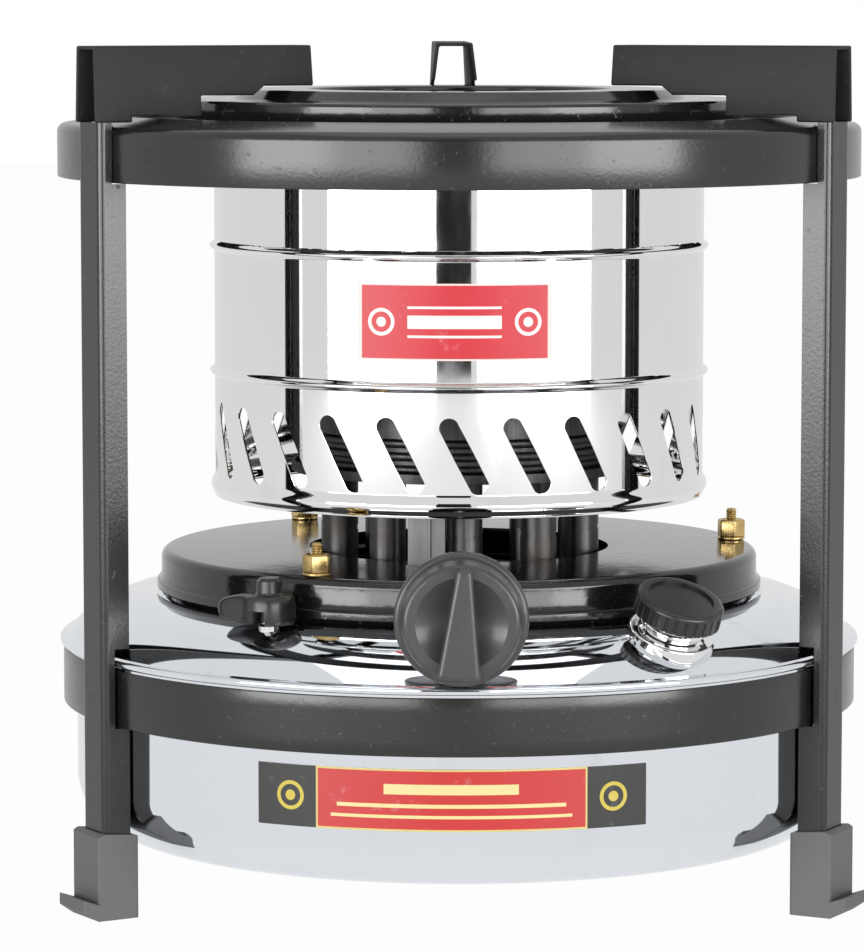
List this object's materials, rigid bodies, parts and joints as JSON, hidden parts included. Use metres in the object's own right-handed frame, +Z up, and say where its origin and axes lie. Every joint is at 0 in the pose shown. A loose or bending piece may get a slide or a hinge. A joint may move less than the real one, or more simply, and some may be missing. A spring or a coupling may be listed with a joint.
{
  "type": "kerosene wick stove",
  "caption": "Kerosene wick stove: a fuel tank in a three-legged frame, a slotted burner drum over a ring of wicks, a knob that raises the wicks, and pot supports on top.",
  "frame": {"origin": "on the floor, at the centre of the part's outline within 2 mm, on the axis of tank and burner", "axes": "+Z up through the pot supports, -Y towards the knob, +X to the right seen from the knob"},
  "size_m": [0.2668, 0.2956, 0.2791],
  "materials": {
    "grey_enamel": "semi-gloss grey paint",
    "shoe_plastic": "matt grey moulding",
    "support_enamel": "dark semi-gloss enamel",
    "rivet_steel": "painted over with the frame",
    "tank_chrome": "bright plated steel",
    "dome_chrome": "bright plated steel",
    "neck_chrome": "bright plated steel",
    "cap_bakelite": "moulded black, polished",
    "gasket_rubber": "black rubber",
    "tube_steel": "heat-darkened steel tube",
    "burner_steel": "plain steel sheet",
    "pin_steel": "bright drawn wire",
    "drum_chrome": "bright plated steel",
    "black_enamel": "glossy black enamel",
    "tray_enamel": "glossy black enamel",
    "stud_brass": "turned brass",
    "lift_steel": "pressed steel",
    "bracket_enamel": "black enamel",
    "bush_brass": "turned brass",
    "clamp_chrome": "bright plated steel",
    "lever_bakelite": "moulded black",
    "wick_cotton": "woven cotton",
    "knob_bakelite": "moulded black, polished",
    "spindle_steel": "drawn bright steel",
    "washer_fibre": "fibre washer",
    "drum_label": "printed panel with plain shapes, no lettering",
    "tank_label": "printed panel with plain shapes, no lettering"
  },
  "bodies": {
    "root": {"leg_rear": "grey_enamel", "foot_rear": "shoe_plastic", "pot_support_rear": "support_enamel", "leg_left": "grey_enamel", "foot_left": "shoe_plastic", "pot_support_left": "support_enamel", "leg_right": "grey_enamel", "foot_right": "shoe_plastic", "pot_support_right": "support_enamel", "top_ring": "grey_enamel", "lower_ring": "grey_enamel", "frame_rivets": "rivet_steel", "tank_pan": "tank_chrome", "tank_dome": "dome_chrome", "filler_neck": "neck_chrome", "wick_tubes": "tube_steel", "burner_gallery": "burner_steel", "outer_flame_tube": "burner_steel", "inner_flame_tube": "burner_steel", "flame_spreader": "burner_steel", "cross_pins": "pin_steel", "drum": "drum_chrome", "burner_top_plate": "black_enamel", "tray_base": "black_enamel", "tray_cover": "tray_enamel", "tray_studs": "stud_brass", "tray_nuts": "stud_brass", "rack_guide": "lift_steel", "inner_bearing": "lift_steel", "spindle_bracket": "bracket_enamel", "spindle_bush": "bush_brass", "clamp_post": "clamp_chrome", "drum_label": "drum_label", "tank_label": "tank_label"},
    "knob": {"knob": "knob_bakelite", "spindle": "spindle_steel", "pinion": "bush_brass", "spindle_collar": "spindle_steel", "knob_washer": "washer_fibre", "grub_screw": "spindle_steel"},
    "wick_lift": {"wick_carrier": "lift_steel", "rack": "lift_steel", "wick_holders": "lift_steel", "wicks": "wick_cotton"},
    "cap": {"filler_cap": "cap_bakelite", "cap_gasket": "gasket_rubber"},
    "clamp": {"clamp_lever": "lever_bakelite"}
  },
  "joints": [
    {"name": "knob_turn", "type": "hinge", "parent": "root", "child": "knob", "pos_m": [0, -0.13, 0.105], "axis": [0, 1, 0], "range_deg": [0, 128.95]},
    {"name": "wick_slide", "type": "slide", "parent": "root", "child": "wick_lift", "axis": [0, 0, 1], "range_m": [0, 0.009]},
    {"name": "cap_lift", "type": "slide", "parent": "root", "child": "cap", "axis": [0.2231, -0.3271, 0.9183], "range_m": [0, 0.04]},
    {"name": "clamp_turn", "type": "hinge", "parent": "root", "child": "clamp", "pos_m": [-0.06018, -0.09267, 0.105], "axis": [0, 0, 1], "range_deg": [0, 90]}
  ],
  "couplings": [
    {"joint": "knob_turn", "follows": "wick_slide", "rad_per_m": 250}
  ]
}
